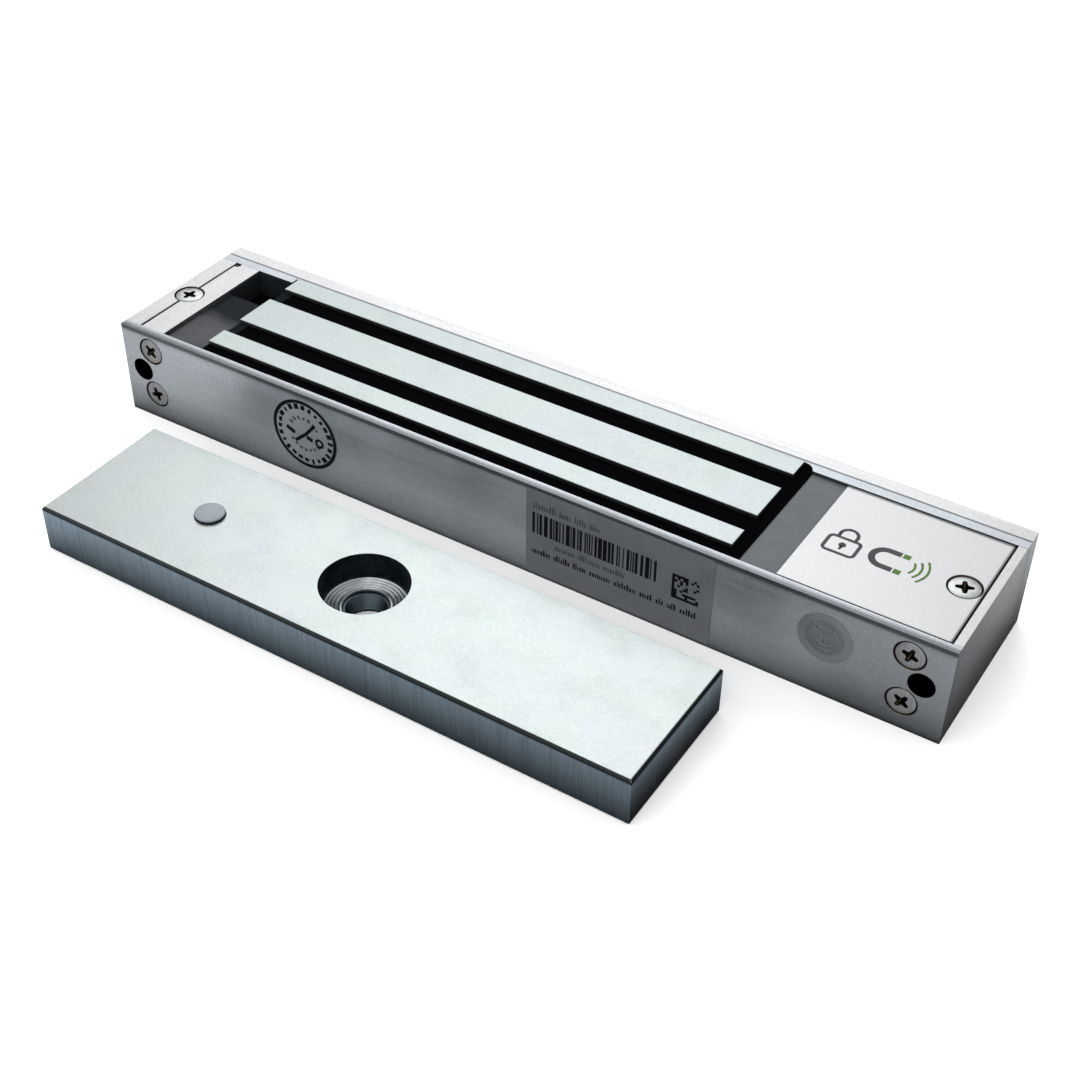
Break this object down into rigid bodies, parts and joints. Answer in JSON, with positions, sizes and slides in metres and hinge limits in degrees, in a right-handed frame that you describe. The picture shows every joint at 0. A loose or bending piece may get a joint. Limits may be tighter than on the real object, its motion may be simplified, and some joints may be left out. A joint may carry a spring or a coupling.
{
  "type": "magnetic door lock",
  "caption": "Surface-mounted electromagnetic door lock: long aluminium body with laminated pole faces and wiring cover, plus a separate steel armature plate with a sprung release pin.",
  "frame": {"origin": "centre of the lock body's length and width, mounting plate included, on its resting face", "axes": "+X along the body towards the wiring cover, +Y towards the mounting plate, +Z out of the pole faces"},
  "size_m": [0.25, 0.1124, 0.0289],
  "materials": {
    "housing": "satin anodised",
    "mounting_plate": "satin anodised",
    "end_blocks": "satin",
    "cover_plate": "fine grained satin",
    "screws": "bright zinc plated",
    "dark_steel": "black oxide",
    "core": "ground and plated",
    "coil_bobbin": "moulded",
    "coil_winding": "enamelled copper wire",
    "potting": "cast epoxy",
    "resin": "cast resin",
    "pocket_liner": "insulating sheet",
    "circuit_board": "solder mask",
    "board_posts": "nylon",
    "terminal_block": "moulded",
    "varistor": "dipped epoxy",
    "diode": "moulded",
    "coil_leads": "insulated wire",
    "wire_grommet": "moulded",
    "serial_label": "metallised film",
    "inspection_seal": "printed film",
    "tamper_seal": "translucent film",
    "armature_plate": "bright zinc plated",
    "release_pin": "turned"
  },
  "bodies": {
    "lock_body": {"housing": "housing", "mounting_bolts": "dark_steel", "end_block_left": "end_blocks", "end_block_right": "end_blocks", "side_screws": "screws", "left_end_screw": "screws", "core": "core", "core_screws": "screws", "coil_bobbin": "coil_bobbin", "coil_winding": "coil_winding", "potting": "potting", "resin_left": "resin", "resin_right": "resin", "resin_dam": "coil_bobbin", "pocket_liner": "pocket_liner", "circuit_board": "circuit_board", "board_posts": "board_posts", "board_screws": "screws", "terminal_block": "terminal_block", "terminal_screws": "screws", "varistor": "varistor", "diode": "diode", "coil_leads": "coil_leads", "wire_grommet": "wire_grommet", "serial_label": "serial_label", "inspection_seal": "inspection_seal", "tamper_seal": "tamper_seal"},
    "mounting_plate": {"mounting_plate": "mounting_plate"},
    "cover": {"cover_plate": "cover_plate", "cover_screw": "screws"},
    "armature": {"armature_plate": "armature_plate", "release_spring": "dark_steel", "spring_plug": "dark_steel"},
    "release_pin": {"release_pin": "release_pin"}
  },
  "joints": [
    {"name": "door_closing", "type": "hinge", "parent": "lock_body", "child": "armature", "pos_m": [0, -0.0325, 0.02205], "axis": [-1, 0, 0], "range_deg": [0, 180]},
    {"name": "release_pin_press", "type": "slide", "parent": "armature", "child": "release_pin", "axis": [0, 0, -1], "range_m": [0, 0.001], "stiffness_N_per_m": 1500, "springref_m": -0.0015, "deforming": ["release_spring"]},
    {"name": "cover_lift", "type": "slide", "parent": "lock_body", "child": "cover", "axis": [0, 0, 1], "range_m": [0, 0.03]},
    {"name": "mounting_plate_slide", "type": "slide", "parent": "lock_body", "child": "mounting_plate", "axis": [0, 1, 0], "range_m": [0, 0.03]}
  ]
}
